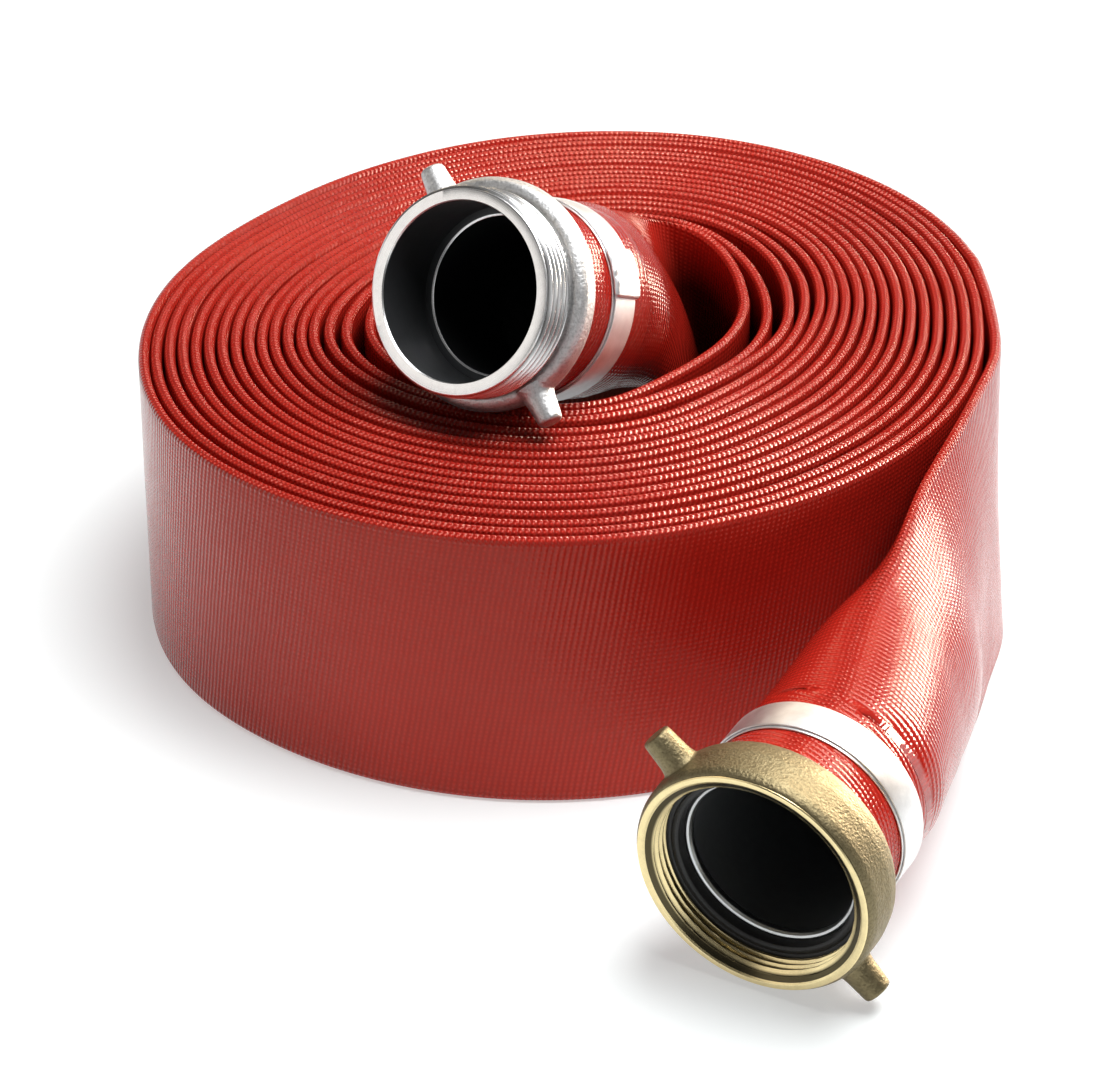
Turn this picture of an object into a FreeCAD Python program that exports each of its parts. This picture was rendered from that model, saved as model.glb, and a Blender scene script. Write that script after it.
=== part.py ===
import FreeCAD, Part
import math, os
import Sketcher
from FreeCAD import Vector

# Rolled lay-flat fire hose, 3 in bore x 50 ft, with a male and a female
# threaded shank coupling. Millimetres, +Z up. The roll stands on its edge
# folds on z = 0 with its winding axis along Z. The local frame of every
# coupling piece has its origin in the middle of the mouth and its X axis
# pointing from the mouth into the hose, so x is the depth behind the mouth.

os.makedirs("parts", exist_ok=True)
doc = FreeCAD.newDocument("rolled_fire_hose")

dims = {
    # frame shift that puts the origin under the middle of the whole object
    "origin_dx": 0.5, "origin_dy": 77.3,
    # lay-flat hose
    "flat_width": 127.0, "flat_thick": 5.0, "hose_inner": 39.2, "hose_outer": 41.85,
    # male coupling: mouth centre and direction of the bore, degrees
    "male_px": -47.9, "male_py": -88.3, "male_pz": 184.9,
    "male_yaw": 54.2, "male_pitch": 25.8, "male_roll": 43.7,
    "male_face_outer": 42.6, "thread_major": 44.0, "male_chamfer": 1.6,
    "male_thread_end": 15.6, "male_neck": 41.6, "male_flange_front": 18.4,
    "male_flange": 49.0, "male_flange_back": 30.6, "male_back_outer": 44.5,
    "male_back_end": 32.6, "male_bore": 37.4, "male_step": 33.0,
    "shank_bore": 35.4, "male_shank_end": 86.0,
    "male_lug_at": 25.0, "male_lug_base": 8.9, "male_lug_reach": 61.5, "lug_taper": 3.6,
    "male_hose_start": 32.9, "male_band_start": 53.6, "band_width": 15.9,
    "band_inner": 41.95, "band_outer": 43.55, "band_edge": 0.4,
    "buckle_inner": 43.65, "buckle_outer": 46.7, "buckle_width": 19.0, "buckle_sweep": 28.0,
    "male_buckle_roll": 150.0,
    # female coupling: shank, swivel nut and gasket
    "fem_px": 66.0, "fem_py": -321.0, "fem_pz": 52.2,
    "fem_yaw": 60.5, "fem_pitch": -4.7, "fem_roll": 44.1,
    "nut_rim": 50.4, "nut_body": 51.4, "nut_rim_depth": 3.0, "nut_back": 48.6, "nut_depth": 28.0,
    "thread_minor": 42.2, "nut_lead": 47.0, "nut_lead_depth": 3.0, "nut_thread_end": 11.0,
    "nut_cavity": 45.0, "nut_lip_front": 22.4, "nut_lip_bore": 41.6,
    "nut_lug_at": 14.0, "nut_lug_base": 9.2, "nut_lug_reach": 66.0,
    "gasket_front": 11.4, "gasket_back": 17.3, "gasket_outer": 44.6, "gasket_inner": 37.4,
    "collar_front": 17.3, "collar_back": 22.0, "collar_outer": 44.6,
    "fem_neck": 41.2, "fem_neck_end": 29.8, "fem_shank_end": 78.0,
    "fem_hose_start": 30.1, "fem_band_start": 45.4, "fem_buckle_roll": 250.0,
}
# outer face of the roll, every 12 degrees from 16 degrees, and the inner face
# of its innermost full turn, every 12 degrees from 10 degrees
OUTER = [190.0, 193.8, 196.9, 198.4, 198.1, 195.3, 190.9, 186.1, 181.3, 177.4, 175.2,
         176.0, 179.9, 184.6, 188.6, 192.4, 195.3, 195.8, 194.8, 193.8, 192.4, 190.1,
         186.9, 183.8, 181.7, 180.4, 179.7, 179.3, 179.1, 180.4, 184.3]
INNER = [83.7, 87.1, 92.2, 98.6, 104.2, 105.0, 101.9, 97.2, 92.3, 88.2, 85.5, 84.0,
         84.1, 85.0, 86.0, 86.2, 85.0, 83.2, 81.2, 79.5, 77.9, 76.4, 74.3, 70.6, 66.0,
         63.2, 62.8, 64.0, 66.6, 69.7, 73.6]
for i, v in enumerate(OUTER):
    dims["roll_outer_%02d" % i] = v
for i, v in enumerate(INNER):
    dims["roll_inner_%02d" % i] = v

sheet = doc.addObject("Spreadsheet::Sheet", "dims")
for row, (key, value) in enumerate(dims.items(), start=1):
    sheet.set("A%d" % row, key)
    sheet.set("B%d" % row, str(value))
    sheet.setAlias("B%d" % row, key)
doc.recompute()


def number(text):
    """value of a sum such as 'male_step+2' of sheet names and plain numbers"""
    total = 0.0
    for term in str(text).split("+"):
        total += dims[term] if term in dims else float(term)
    return total


def expression(text):
    return "+".join(("dims." + t) if t in dims else t for t in str(text).split("+"))


def plane(body, role):
    return [f for f in body.Origin.OriginFeatures if f.Role == role][0]


def profile(body, name, points, role="XY_Plane"):
    """closed polygon; each corner held by its depth x and its radius y"""
    sk = body.newObject("Sketcher::SketchObject", name)
    sk.AttachmentSupport = [(plane(body, role), "")]
    sk.MapMode = "FlatFace"
    n = len(points)
    xy = [(number(a), number(b)) for a, b in points]
    for i in range(n):
        a, b = xy[i], xy[(i + 1) % n]
        sk.addGeometry(Part.LineSegment(Vector(a[0], a[1], 0), Vector(b[0], b[1], 0)), False)
    for i in range(n):
        sk.addConstraint(Sketcher.Constraint("Coincident", i, 2, (i + 1) % n, 1))
    for i, (a, b) in enumerate(points):
        if number(a) == 0:
            sk.addConstraint(Sketcher.Constraint("PointOnObject", i, 1, -2))
        else:
            c = sk.addConstraint(Sketcher.Constraint("DistanceX", -1, 1, i, 1, xy[i][0]))
            sk.setExpression("Constraints[%d]" % c, expression(a))
        if number(b) == 0:
            sk.addConstraint(Sketcher.Constraint("PointOnObject", i, 1, -1))
        else:
            c = sk.addConstraint(Sketcher.Constraint("DistanceY", -1, 1, i, 1, xy[i][1]))
            sk.setExpression("Constraints[%d]" % c, expression(b))
    return sk


def turned(body, name, points, groove=False, sweep=None):
    sk = profile(body, name + "_profile", points)
    f = body.newObject("PartDesign::Groove" if groove else "PartDesign::Revolution", name)
    f.Profile = sk
    f.ReferenceAxis = (sk, ["H_Axis"])
    f.Angle = 360
    if sweep:
        f.setExpression("Angle", "dims." + sweep)
        f.Midplane = True
    return f


def lugs(body, name, at, base, reach, taper):
    """two opposite pin lugs, drawn as a tapered boss and repeated half a turn on"""
    sk = body.newObject("Sketcher::SketchObject", name + "_profile")
    sk.AttachmentSupport = [(plane(body, "XZ_Plane"), "")]
    sk.MapMode = "FlatFace"
    sk.addGeometry(Part.Circle(Vector(dims[at], 0, 0), Vector(0, 0, 1), dims[base]), False)
    sk.addConstraint(Sketcher.Constraint("PointOnObject", 0, 3, -1))
    c = sk.addConstraint(Sketcher.Constraint("DistanceX", -1, 1, 0, 3, dims[at]))
    sk.setExpression("Constraints[%d]" % c, "dims." + at)
    c = sk.addConstraint(Sketcher.Constraint("Radius", 0, dims[base]))
    sk.setExpression("Constraints[%d]" % c, "dims." + base)
    pad = body.newObject("PartDesign::Pad", name)
    pad.Profile = sk
    pad.setExpression("Length", "dims." + reach)
    pad.setExpression("TaperAngle", "-1*dims." + taper)
    doc.recompute()
    ring = body.newObject("PartDesign::PolarPattern", name + "_pair")
    ring.Originals = [pad]
    axis = [f for f in body.Origin.OriginFeatures if f.Role == "X_Axis"][0]
    ring.Axis = (axis, [""])
    ring.Angle = 360
    ring.Occurrences = 2
    body.Tip = ring
    return ring


def new_body(label):
    body = doc.addObject("PartDesign::Body", label)
    body.Label = label
    return body


def place(obj, end, roll=None):
    """puts a coupling piece at its end of the hose, turned about its own axis"""
    roll = roll or end + "_roll"
    obj.setExpression(
        "Placement",
        "create(<<placement>>; create(<<vector>>; dims.%s_px + dims.origin_dx; "
        "dims.%s_py + dims.origin_dy; dims.%s_pz); "
        "create(<<rotation>>; dims.%s_yaw; dims.%s_pitch; dims.%s))"
        % (end, end, end, end, end, roll))


# --- male coupling: one aluminium casting, thread, flange with two pin lugs, shank
male = new_body("male_coupling")
turned(male, "casting", [
    ("0", "0"), ("0", "male_face_outer"), ("male_chamfer", "thread_major"),
    ("male_thread_end", "thread_major"), ("male_thread_end+0.9", "male_neck"),
    ("male_flange_front", "male_neck"), ("male_flange_front+0.01", "male_flange+-2.2"),
    ("male_flange_front+1.8", "male_flange"), ("male_flange_back", "male_flange+-0.9"),
    ("male_back_end", "male_back_outer"), ("male_back_end+0.01", "hose_inner+-0.5"),
    ("male_back_end+12", "hose_inner+-0.5"), ("male_back_end+14", "hose_inner"),
    ("male_shank_end+-1.5", "hose_inner"), ("male_shank_end", "hose_inner+-1.2"),
    ("male_shank_end", "0")])
lugs(male, "pin_lugs", "male_lug_at", "male_lug_base", "male_lug_reach", "lug_taper")
turned(male, "waterway", [
    ("-1", "0"), ("-1", "male_bore+1.8"), ("0.8", "male_bore"), ("male_step", "male_bore"),
    ("male_step+1.2", "shank_bore"), ("male_shank_end+1", "shank_bore"),
    ("male_shank_end+1", "0")], groove=True)
place(male, "male")

# --- female shank: collar that keeps the nut on, neck the nut turns on, shank
shank = new_body("female_shank")
turned(shank, "turned_shank", [
    ("collar_front", "shank_bore"), ("collar_front", "collar_outer"),
    ("collar_back", "collar_outer"), ("collar_back+0.01", "fem_neck"),
    ("fem_neck_end", "fem_neck"), ("fem_neck_end+0.01", "hose_inner+-0.5"),
    ("fem_neck_end+10", "hose_inner+-0.5"), ("fem_neck_end+12", "hose_inner"),
    ("fem_shank_end+-1.5", "hose_inner"), ("fem_shank_end", "hose_inner+-1.2"),
    ("fem_shank_end", "shank_bore")])
place(shank, "fem")

# --- swivel nut: brass casting, internal thread, gasket seat, lip behind the collar
nut = new_body("swivel_nut")
turned(nut, "casting", [
    ("0", "0"), ("0", "nut_rim"), ("nut_rim_depth", "nut_body"),
    ("nut_lug_at+3", "nut_body"), ("nut_depth+-2", "nut_back"),
    ("nut_depth", "nut_back+-1.6"), ("nut_depth", "0")])
lugs(nut, "pin_lugs", "nut_lug_at", "nut_lug_base", "nut_lug_reach", "lug_taper")
turned(nut, "bored_inside", [
    ("-1", "0"), ("-1", "nut_lead"), ("0", "nut_lead"), ("nut_lead_depth", "thread_minor"),
    ("nut_thread_end", "thread_minor"), ("nut_thread_end+0.01", "nut_cavity"),
    ("nut_lip_front", "nut_cavity"), ("nut_lip_front+0.01", "nut_lip_bore"),
    ("nut_depth+1", "nut_lip_bore"), ("nut_depth+1", "0")], groove=True)
place(nut, "fem")

# --- flat rubber gasket inside the nut, against the collar
gasket = new_body("gasket")
turned(gasket, "washer", [
    ("gasket_front", "gasket_inner"), ("gasket_front", "gasket_outer+-0.6"),
    ("gasket_front+0.6", "gasket_outer"), ("gasket_back", "gasket_outer"),
    ("gasket_back", "gasket_inner")])
place(gasket, "fem")

# --- band clamps, one on each end, and the crimped buckle on each band
for end, who in (("male", "male"), ("fem", "female")):
    start = end + "_band_start"
    band = new_body(who + "_clamp_band")
    turned(band, "band", [
        (start, "band_inner"), (start, "band_outer+-0.4"), (start + "+band_edge", "band_outer"),
        (start + "+band_width+-0.4", "band_outer"), (start + "+band_width", "band_outer+-0.4"),
        (start + "+band_width", "band_inner")])
    place(band, end)
    buckle = new_body(who + "_clamp_buckle")
    turned(buckle, "crimped_plate", [
        (start + "+-1.5", "buckle_inner"), (start + "+-1.5", "buckle_outer+-0.8"),
        (start + "+-0.7", "buckle_outer"), (start + "+band_width+0.8", "buckle_outer"),
        (start + "+band_width+1.6", "buckle_outer+-0.8"),
        (start + "+band_width+1.6", "buckle_inner")], sweep="buckle_sweep")
    place(buckle, end, end + "_buckle_roll")


# --- the hose. Three stretches of one hose: the roll, and the two free ends that
# open from the flat strip to the round that is clamped on the shanks.
def feature(label, shape):
    f = doc.addObject("Part::Feature", label)
    f.Label = label
    f.Shape = shape
    f.Placement = FreeCAD.Placement(Vector(dims["origin_dx"], dims["origin_dy"], 0), FreeCAD.Rotation())
    return f


def polar(r, deg, z=0.0):
    return Vector(r * math.cos(math.radians(deg)), r * math.sin(math.radians(deg)), z)


def loop(prefix, count, first):
    pts = [polar(dims["%s_%02d" % (prefix, i)], first + 12.0 * i) for i in range(count)]
    curve = Part.BSplineCurve()
    curve.interpolate(pts)
    return Part.Wire([curve.toShape(), Part.LineSegment(pts[-1], pts[0]).toShape()])


height = dims["flat_width"]
outer_wire = loop("roll_outer", len(OUTER), 16.0)
inner_wire = loop("roll_inner", len(INNER), 10.0)
roll_solid = Part.Face(outer_wire).extrude(Vector(0, 0, height)).cut(
    Part.Face(inner_wire).extrude(Vector(0, 0, height)))
feature("hose_roll", roll_solid.Solids[0])


def section(top, low, half, travel):
    """closed oval between the top and the lower edge fold, half = half thickness"""
    top, low, travel = Vector(*top), Vector(*low), Vector(*travel)
    mid = (top + low) * 0.5
    up = top - low
    a = up.Length / 2.0
    up.normalize()
    side = travel.cross(up)
    side.normalize()
    pts = []
    count = 24
    for i in range(count):
        ang = 2 * math.pi * i / count
        pts.append(mid + up * (a * math.cos(ang)) + side * (half * math.sin(ang)))
    return Part.makePolygon(pts + [pts[0]])


def end_frame(end):
    """mouth centre and direction into the hose, in the roll's own coordinates"""
    rot = FreeCAD.Rotation(dims[end + "_yaw"], dims[end + "_pitch"], 0)
    inward = rot.multVec(Vector(1, 0, 0))
    return Vector(dims[end + "_px"], dims[end + "_py"], dims[end + "_pz"]), inward


def free_end(label, end, stations, shank_end, hose_start, up_hint):
    centre, inward = end_frame(end)
    wires = [section(t, b, h, d) for t, b, h, d in stations]
    base = centre + inward * dims[shank_end]
    up = Vector(*up_hint)
    up = up - inward * up.dot(inward)
    up.normalize()
    r = dims["hose_outer"]
    travel = inward * -1.0
    for back in (6.0, 0.0):
        c = base + inward * back
        wires.append(section(tuple(c + up * r), tuple(c - up * r), r, tuple(travel)))
    body = Part.makeLoft(wires, True, True)
    tube = Part.makeCylinder(r, dims[shank_end] - dims[hose_start] + 2.0, centre + inward * dims[hose_start], inward)
    hose = body.fuse(tube).removeSplitter()
    hollow = Part.makeCylinder(dims["hose_inner"] + 0.1, dims[shank_end] - dims[hose_start] + 1.4,
                               centre + inward * (dims[hose_start] - 1.0), inward)
    hose = hose.cut(hollow)
    feature(label, max(hose.Solids, key=lambda q: q.Volume))


# outer end: leaves the roll on the right and opens toward the female coupling
free_end("hose_outer_end", "fem", [
    ((180.4, 50.8, 126.9), (180.4, 50.8, 0.1), 2.4, (0.3, -0.95, 0)),
    ((182.8, 12.0, 126.9), (182.8, 12.0, 0.1), 2.4, (0.03, -1, 0)),
    ((181.2, -30.0, 126.9), (184.6, -30.0, 0.2), 2.6, (-0.1, -1, 0)),
    ((170.5, -65.0, 126.5), (186.5, -61.0, 0.3), 3.6, (-0.2, -1, 0)),
    ((158.5, -97.0, 125.0), (177.0, -100.0, 0.4), 7.0, (-0.32, -1, 0)),
    ((141.5, -137.0, 120.0), (167.0, -138.0, 1.5), 14.0, (-0.36, -1, 0)),
    ((129.0, -173.0, 112.5), (153.0, -174.0, 5.0), 24.0, (-0.4, -1, 0)),
    ((115.5, -205.0, 105.0), (132.0, -208.0, 9.5), 34.0, (-0.45, -1, 0)),
], "fem_shank_end", "fem_hose_start", (-0.05, -0.07, 1.0))

# inner end: stands up out of the middle of the roll to the male coupling
free_end("hose_inner_end", "male", [
    ((75.0, 14.3, 126.9), (75.0, 14.3, 0.1), 2.2, (0.0, 1, 0)),
    ((73.0, 43.0, 126.9), (73.0, 43.0, 0.1), 2.2, (-0.1, 1, 0)),
    ((67.0, 66.0, 126.9), (67.8, 63.5, 0.2), 2.3, (-0.5, 1, 0)),
    ((57.0, 84.0, 127.0), (62.0, 75.5, 1.5), 2.5, (-0.9, 0.5, 0.05)),
    ((46.0, 90.5, 127.2), (60.0, 70.0, 8.0), 3.0, (-1, 0.2, 0.15)),
    ((37.0, 92.0, 128.0), (61.0, 58.0, 20.0), 4.0, (-1, -0.1, 0.3)),
    ((29.0, 90.5, 130.8), (61.5, 38.0, 38.0), 6.5, (-0.95, -0.5, 0.45)),
    ((19.5, 82.0, 137.5), (58.5, 10.0, 66.0), 12.0, (-0.75, -0.68, 0.45)),
    ((6.5, 63.0, 147.5), (47.0, -17.0, 96.0), 20.0, (-0.62, -0.72, 0.45)),
    ((-11.0, 31.0, 160.5), (30.5, -39.0, 118.5), 33.0, (-0.53, -0.73, 0.435)),
], "male_shank_end", "male_hose_start", (-0.558, 0.682, 0.473))

doc.recompute()

# --- nothing is written unless every feature came out well
problems = []
for obj in doc.Objects:
    if "Invalid" in obj.State or "Error" in obj.State:
        problems.append("%s: %s" % (obj.Name, obj.State))
pieces = [o for o in doc.Objects if o.TypeId in ("PartDesign::Body", "Part::Feature")]
for obj in pieces:
    shape = obj.Shape
    if shape.isNull() or not shape.isValid() or not shape.Solids:
        problems.append("%s: bad shape" % obj.Label)
if problems:
    raise RuntimeError("; ".join(problems))

box = FreeCAD.BoundBox()
for obj in pieces:
    box.add(obj.Shape.optimalBoundingBox(True, False))
    print("%-22s solids %d  volume %10.1f mm3" % (obj.Label, len(obj.Shape.Solids), obj.Shape.Volume))
    obj.Shape.exportStep("parts/%s.step" % obj.Label)
print("box %.2f..%.2f  %.2f..%.2f  %.2f..%.2f" % (box.XMin, box.XMax, box.YMin, box.YMax, box.ZMin, box.ZMax))
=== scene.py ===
import math

import bpy
import numpy as np
from mathutils import Matrix, Vector


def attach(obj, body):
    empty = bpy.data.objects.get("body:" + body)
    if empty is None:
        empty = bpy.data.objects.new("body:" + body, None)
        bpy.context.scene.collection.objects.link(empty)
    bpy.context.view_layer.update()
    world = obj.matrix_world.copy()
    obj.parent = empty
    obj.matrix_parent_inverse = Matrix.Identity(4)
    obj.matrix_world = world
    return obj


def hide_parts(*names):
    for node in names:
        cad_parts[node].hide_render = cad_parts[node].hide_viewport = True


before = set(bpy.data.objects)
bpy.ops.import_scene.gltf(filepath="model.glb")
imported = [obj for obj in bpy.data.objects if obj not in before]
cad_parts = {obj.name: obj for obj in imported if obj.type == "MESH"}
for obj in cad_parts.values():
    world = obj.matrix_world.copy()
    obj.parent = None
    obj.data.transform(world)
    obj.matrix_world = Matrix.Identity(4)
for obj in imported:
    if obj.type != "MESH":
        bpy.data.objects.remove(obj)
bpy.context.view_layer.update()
scene = bpy.context.scene
MM = 0.001
# the roll's winding axis in the frame, mm
SHIFT = np.array([0.5, 77.3, 0.0])
FLAT_W, WALL = 127.0, 2.5
R_HOSE, R_SHANK = 41.85, 39.3

# ---------------------------------------------------------------- camera
target = np.array([-10.4, -81.5, 60.0]) + SHIFT
elev = math.radians(30.86)
back = np.array([0.0, -math.cos(elev), math.sin(elev)])
cam_data = bpy.data.cameras.new("camera")
cam = bpy.data.objects.new("camera", cam_data)
scene.collection.objects.link(cam)
cam.location = Vector((target + back * 1805.5) * MM)
cam.rotation_mode = "QUATERNION"
cam.rotation_quaternion = Vector(-back).to_track_quat("-Z", "Y")
cam_data.sensor_fit = "HORIZONTAL"
cam_data.sensor_width = 36.0
cam_data.lens = 4223.0 / 1099.0 * 36.0
cam_data.clip_start, cam_data.clip_end = 0.05, 50.0
scene.camera = cam


# ---------------------------------------------------------------- small tools
def unit(v):
    v = np.asarray(v, float)
    return v / np.maximum(np.linalg.norm(v, axis=-1, keepdims=True), 1e-12)


def frame_of(yaw, pitch):
    """x into the hose, y level, z up, of a coupling's own axes"""
    y, p = math.radians(yaw), math.radians(pitch)
    x = np.array([math.cos(p) * math.cos(y), math.cos(p) * math.sin(y), -math.sin(p)])
    yy = np.array([-math.sin(y), math.cos(y), 0.0])
    return x, yy, np.cross(x, yy)


MALE_AT = np.array([-47.9, -88.3, 184.9]) + SHIFT
FEM_AT = np.array([66.0, -321.0, 52.2]) + SHIFT
MALE = frame_of(54.2, 25.8)
FEM = frame_of(60.5, -4.7)


def new_mesh(name, verts, faces, mats, body="hose", uv=None, mat_ids=None, smooth=True, auto=None):
    me = bpy.data.meshes.new(name)
    me.from_pydata((np.asarray(verts) * MM).tolist(), [], faces)
    if uv is not None:
        layer = me.uv_layers.new(name="along")
        loops = np.empty(len(me.loops), dtype=np.int64)
        me.loops.foreach_get("vertex_index", loops)
        layer.data.foreach_set("uv", np.asarray(uv, float).reshape(-1))
    for m in mats:
        me.materials.append(m)
    if mat_ids is not None:
        me.polygons.foreach_set("material_index", np.asarray(mat_ids, dtype=np.int32))
    me.polygons.foreach_set("use_smooth", np.full(len(me.polygons), smooth))
    me.update()
    me.validate()
    ob = bpy.data.objects.new(name, me)
    scene.collection.objects.link(ob)
    if auto is not None:
        sharpen(ob, auto)
    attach(ob, body)
    return ob


def fix_normals(ob):
    import bmesh

    bm = bmesh.new()
    bm.from_mesh(ob.data)
    bmesh.ops.recalc_face_normals(bm, faces=bm.faces[:])
    bm.to_mesh(ob.data)
    bm.free()


def sharpen(ob, degrees):
    """smooth shading, with edges sharper than this kept crisp"""
    import bmesh

    bm = bmesh.new()
    bm.from_mesh(ob.data)
    for e in bm.edges:
        if len(e.link_faces) == 2:
            e.smooth = e.calc_face_angle(0.0) < math.radians(degrees)
    bm.to_mesh(ob.data)
    bm.free()


# ---------------------------------------------------------------- materials
class Nodes:
    def __init__(self, name):
        self.mat = bpy.data.materials.new(name)
        self.mat.use_nodes = True
        self.tree = self.mat.node_tree
        self.tree.nodes.clear()
        self.out = self.add("ShaderNodeOutputMaterial")
        self.bsdf = self.add("ShaderNodeBsdfPrincipled")
        self.link(self.bsdf.outputs[0], self.out.inputs["Surface"])

    def add(self, kind, **values):
        n = self.tree.nodes.new(kind)
        for k, v in values.items():
            if hasattr(n, k):
                setattr(n, k, v)
            else:
                n.inputs[k].default_value = v
        return n

    def link(self, a, b):
        self.tree.links.new(a, b)

    def math(self, op, a, b=None, c=None, clamp=False):
        n = self.tree.nodes.new("ShaderNodeMath")
        n.operation = op
        n.use_clamp = clamp
        for i, v in enumerate((a, b, c)):
            if v is None:
                continue
            if isinstance(v, (int, float)):
                n.inputs[i].default_value = v
            else:
                self.link(v, n.inputs[i])
        return n.outputs[0]

    def noise(self, vector, scale, detail=2.0, rough=0.5):
        n = self.add("ShaderNodeTexNoise")
        n.inputs["Scale"].default_value = scale
        n.inputs["Detail"].default_value = detail
        n.inputs["Roughness"].default_value = rough
        self.link(vector, n.inputs["Vector"])
        return n.outputs["Fac"]

    def ramp(self, fac, stops):
        n = self.add("ShaderNodeValToRGB")
        e = n.color_ramp.elements
        e[0].position, e[0].color = stops[0][0], stops[0][1]
        e[1].position, e[1].color = stops[-1][0], stops[-1][1]
        for p, c in stops[1:-1]:
            x = e.new(p)
            x.color = c
        self.link(fac, n.inputs[0])
        return n.outputs[0]

    def mix(self, fac, a, b):
        n = self.add("ShaderNodeMix")
        n.data_type = "RGBA"
        if isinstance(fac, (int, float)):
            n.inputs[0].default_value = fac
        else:
            self.link(fac, n.inputs[0])
        for i, v in ((6, a), (7, b)):
            if isinstance(v, tuple):
                n.inputs[i].default_value = v
            else:
                self.link(v, n.inputs[i])
        return n.outputs[2]

    def bump(self, height, strength, distance, normal=None):
        n = self.add("ShaderNodeBump")
        n.inputs["Strength"].default_value = strength
        n.inputs["Distance"].default_value = distance
        self.link(height, n.inputs["Height"])
        if normal is not None:
            self.link(normal, n.inputs["Normal"])
        return n.outputs[0]

    def position(self):
        return self.add("ShaderNodeTexCoord").outputs["Object"]


def hose_material():
    """glossy PVC cover over a woven reinforcement; u runs along the hose and v round it, in metres"""
    n = Nodes("red_pvc")
    uv = n.add("ShaderNodeUVMap")
    uv.uv_map = "along"
    sep = n.add("ShaderNodeSeparateXYZ")
    n.link(uv.outputs[0], sep.inputs[0])
    u, v = sep.outputs[0], sep.outputs[1]
    pos = n.position()
    wob = n.noise(pos, 60.0, 2.0)
    # weft ribs round the hose, a little slanted, pitch 2.4 mm
    a = n.math("MULTIPLY_ADD", v, 0.16, u)
    a = n.math("MULTIPLY_ADD", wob, 0.0009, a)
    weft = n.math("SINE", n.math("MULTIPLY", a, 2 * math.pi / 0.0024))
    # warp yarns along the hose, pitch 2.1 mm
    b = n.math("MULTIPLY_ADD", wob, 0.0008, v)
    warp = n.math("SINE", n.math("MULTIPLY", b, 2 * math.pi / 0.0021))
    # over and under: the two sets cross out of step with each other
    cross = n.math("MULTIPLY", weft, warp)
    h = n.math("MULTIPLY_ADD", cross, 0.22, n.math("MULTIPLY", weft, 0.62))
    h = n.math("MULTIPLY_ADD", warp, 0.20, h)
    patchy = n.noise(pos, 28.0, 3.0)
    h = n.math("MULTIPLY", h, n.math("MULTIPLY_ADD", patchy, 0.7, 0.55))
    soft = n.noise(pos, 22.0, 3.0, 0.55)
    big = n.bump(soft, 0.35, 0.0022)
    # the ribs stand proud where they turn over the two edge folds
    near = n.math("MULTIPLY_ADD", v, 1 / 0.13, 0.5)
    near = n.math("ABSOLUTE", n.math("SUBTRACT", n.math("FRACT", near), 0.5))
    proud = n.math("MULTIPLY_ADD", near, -0.13 / 0.0065, 1.0, clamp=True)
    h2 = n.math("MULTIPLY", h, n.math("MULTIPLY_ADD", proud, 2.6, 1.0))
    fine = n.bump(h2, 1.0, 0.00017, big)
    grain = n.bump(n.noise(pos, 2600.0, 2.0), 0.10, 0.00008, fine)
    n.link(grain, n.bsdf.inputs["Normal"])
    tone = n.noise(pos, 9.0, 4.0, 0.6)
    col = n.ramp(tone, [(0.3, (0.46, 0.018, 0.010, 1)), (0.7, (0.54, 0.026, 0.015, 1))])
    # painted shade in the weave: the colour darkens towards near-black red where the rib height is low, in the recesses
    # between the ribs
    valley = n.math("MULTIPLY_ADD", h, 0.5, 0.55, clamp=True)
    col = n.mix(n.math("MULTIPLY_ADD", valley, -0.55, 0.55), col, (0.16, 0.004, 0.003, 1))
    # painted shade on the faces between the turns: everything inside the outer turn, below the top folds, is coloured
    # near black and given less reflection
    axes = n.add("ShaderNodeSeparateXYZ")
    n.link(pos, axes.inputs[0])
    deep = n.math("MULTIPLY_ADD", axes.outputs[2], -1 / 0.026, 0.1245 / 0.026, clamp=True)
    inner = n.math("MULTIPLY_ADD", u, 10.0, -13.2, clamp=True)
    shade = n.math("MULTIPLY", deep, inner)
    col = n.mix(n.math("MULTIPLY", shade, 0.90), col, (0.020, 0.002, 0.001, 1))
    n.link(n.math("MULTIPLY_ADD", shade, -0.24, 0.30), n.bsdf.inputs["Specular IOR Level"])
    n.link(col, n.bsdf.inputs["Base Color"])
    rough = n.math("MULTIPLY_ADD", n.noise(pos, 40.0, 4.0, 0.6), 0.07, 0.05)
    n.link(rough, n.bsdf.inputs["Roughness"])
    n.bsdf.inputs["Specular Tint"].default_value = (1.0, 0.84, 0.68, 1)
    return n.mat


def lining_material():
    n = Nodes("hose_lining")
    pos = n.position()
    k = n.noise(pos, 300.0, 3.0)
    n.link(n.ramp(k, [(0.3, (0.030, 0.031, 0.031, 1)), (0.7, (0.050, 0.051, 0.051, 1))]), n.bsdf.inputs["Base Color"])
    n.bsdf.inputs["Roughness"].default_value = 0.55
    n.link(n.bump(k, 0.3, 0.0003), n.bsdf.inputs["Normal"])
    return n.mat


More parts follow.
